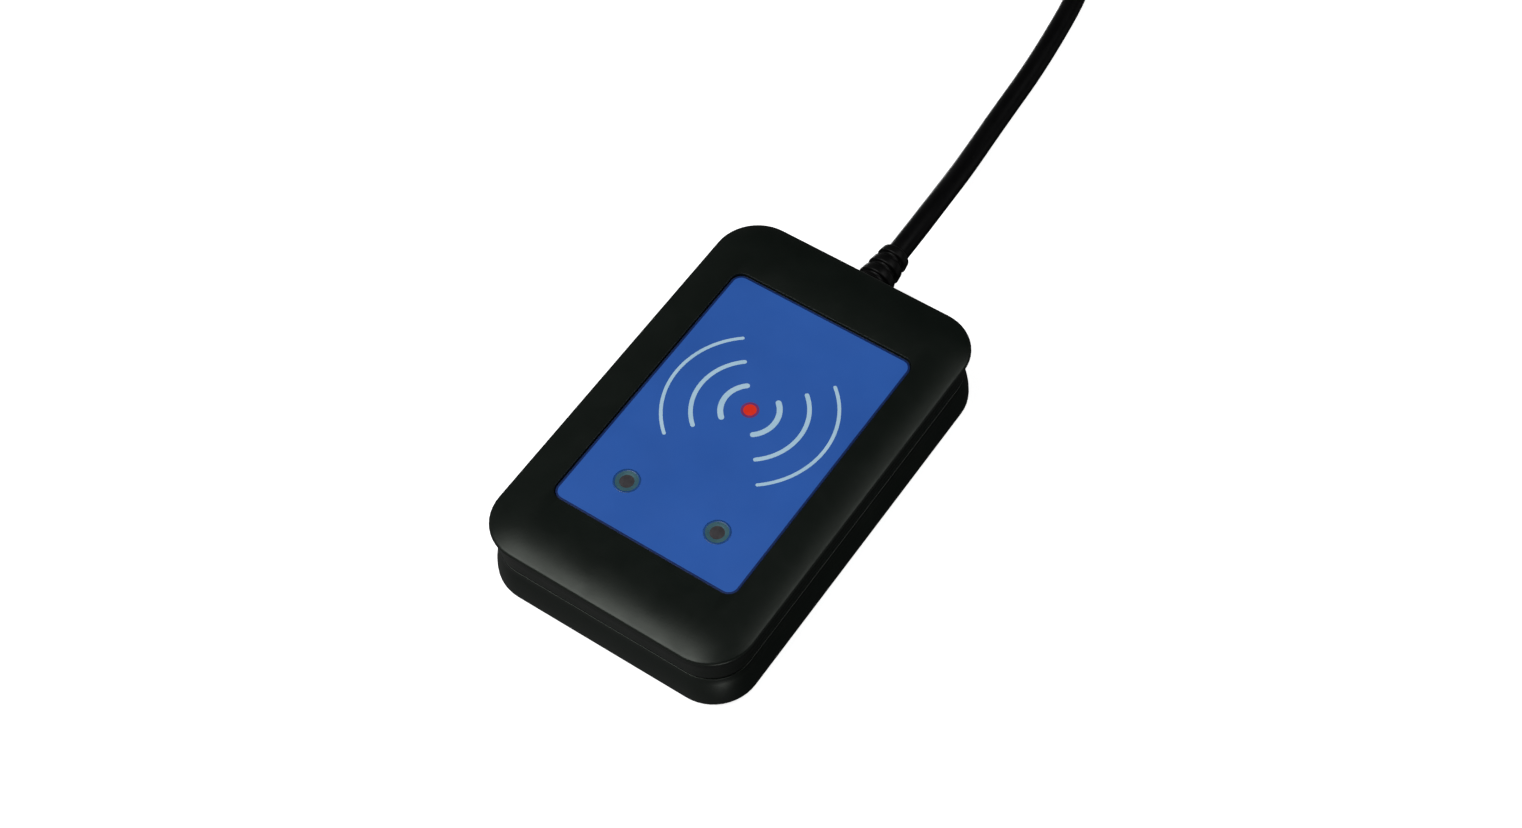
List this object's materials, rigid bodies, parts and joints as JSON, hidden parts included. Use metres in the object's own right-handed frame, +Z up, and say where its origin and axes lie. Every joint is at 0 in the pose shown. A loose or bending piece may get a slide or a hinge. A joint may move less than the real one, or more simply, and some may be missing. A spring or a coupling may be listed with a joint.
{
  "type": "rfid card reader",
  "caption": "Desktop contactless card reader: rounded two-shell housing with a waisted side, recessed printed label, status windows and a USB lead wound in a tied coil.",
  "frame": {"origin": "middle of the housing's underside, on the plane of its rubber feet; the lead, its strain relief, coil and plug are not counted", "axes": "+X across the reader to its right, +Y along it towards the lead, +Z up"},
  "size_m": [0.0674, 0.2757, 0.0268],
  "materials": {
    "housing_black": "fine spark-eroded texture, moulded ABS",
    "label_blue": "screen-printed polyester film, satin",
    "label_pale_print": "screen-printed ink, satin",
    "label_red_print": "screen-printed ink, satin",
    "window_plastic": "smoked translucent light guide",
    "feet_rubber": "matt die-cut rubber",
    "plate_silver": "blank silver polyester plate",
    "screw_steel": "zinc-plated, pan head",
    "board_green": "solder resist over glass epoxy",
    "coil_copper": "enamelled copper winding",
    "chip_black": "moulded epoxy",
    "crystal_can": "plated metal can",
    "buzzer_black": "moulded plastic",
    "lamp_white": "lamp body",
    "capacitor_tan": "moulded and ceramic",
    "resistor_dark": "thick-film chip",
    "connector_cream": "moulded nylon",
    "wire_red": "insulated wire",
    "wire_white": "insulated wire",
    "wire_green": "insulated wire",
    "wire_black": "insulated wire",
    "cable_pvc": "satin PVC jacket",
    "tie_black": "hook-and-loop strap",
    "plug_metal": "nickel-plated steel",
    "plug_tongue": "moulded plastic",
    "contact_gold": "gold-plated contacts"
  },
  "bodies": {
    "root": {"top_cover": "housing_black", "bottom_cover": "housing_black", "front_label": "label_blue", "status_window_left": "window_plastic", "status_window_right": "window_plastic", "rubber_feet": "feet_rubber", "rating_plate": "plate_silver", "case_screws": "screw_steel", "board_screws": "screw_steel", "circuit_board": "board_green", "aerial_coil": "coil_copper", "microcontroller": "chip_black", "reader_chip": "chip_black", "voltage_regulator": "chip_black", "quartz_crystal": "crystal_can", "buzzer": "buzzer_black", "status_lamp_left": "lamp_white", "status_lamp_right": "lamp_white", "capacitors": "capacitor_tan", "resistors": "resistor_dark", "board_socket": "connector_cream", "wire_plug": "connector_cream", "wire_red": "wire_red", "wire_white": "wire_white", "wire_green": "wire_green", "wire_black": "wire_black", "strain_relief": "cable_pvc", "usb_cable": "cable_pvc", "cable_coil": "cable_pvc", "usb_cable_end": "cable_pvc", "cable_tie": "tie_black", "usb_plug_boot": "cable_pvc", "usb_plug_grip": "cable_pvc", "usb_plug_shell": "plug_metal", "usb_plug_tongue": "plug_tongue", "usb_plug_contacts": "contact_gold"}
  },
  "joints": []
}
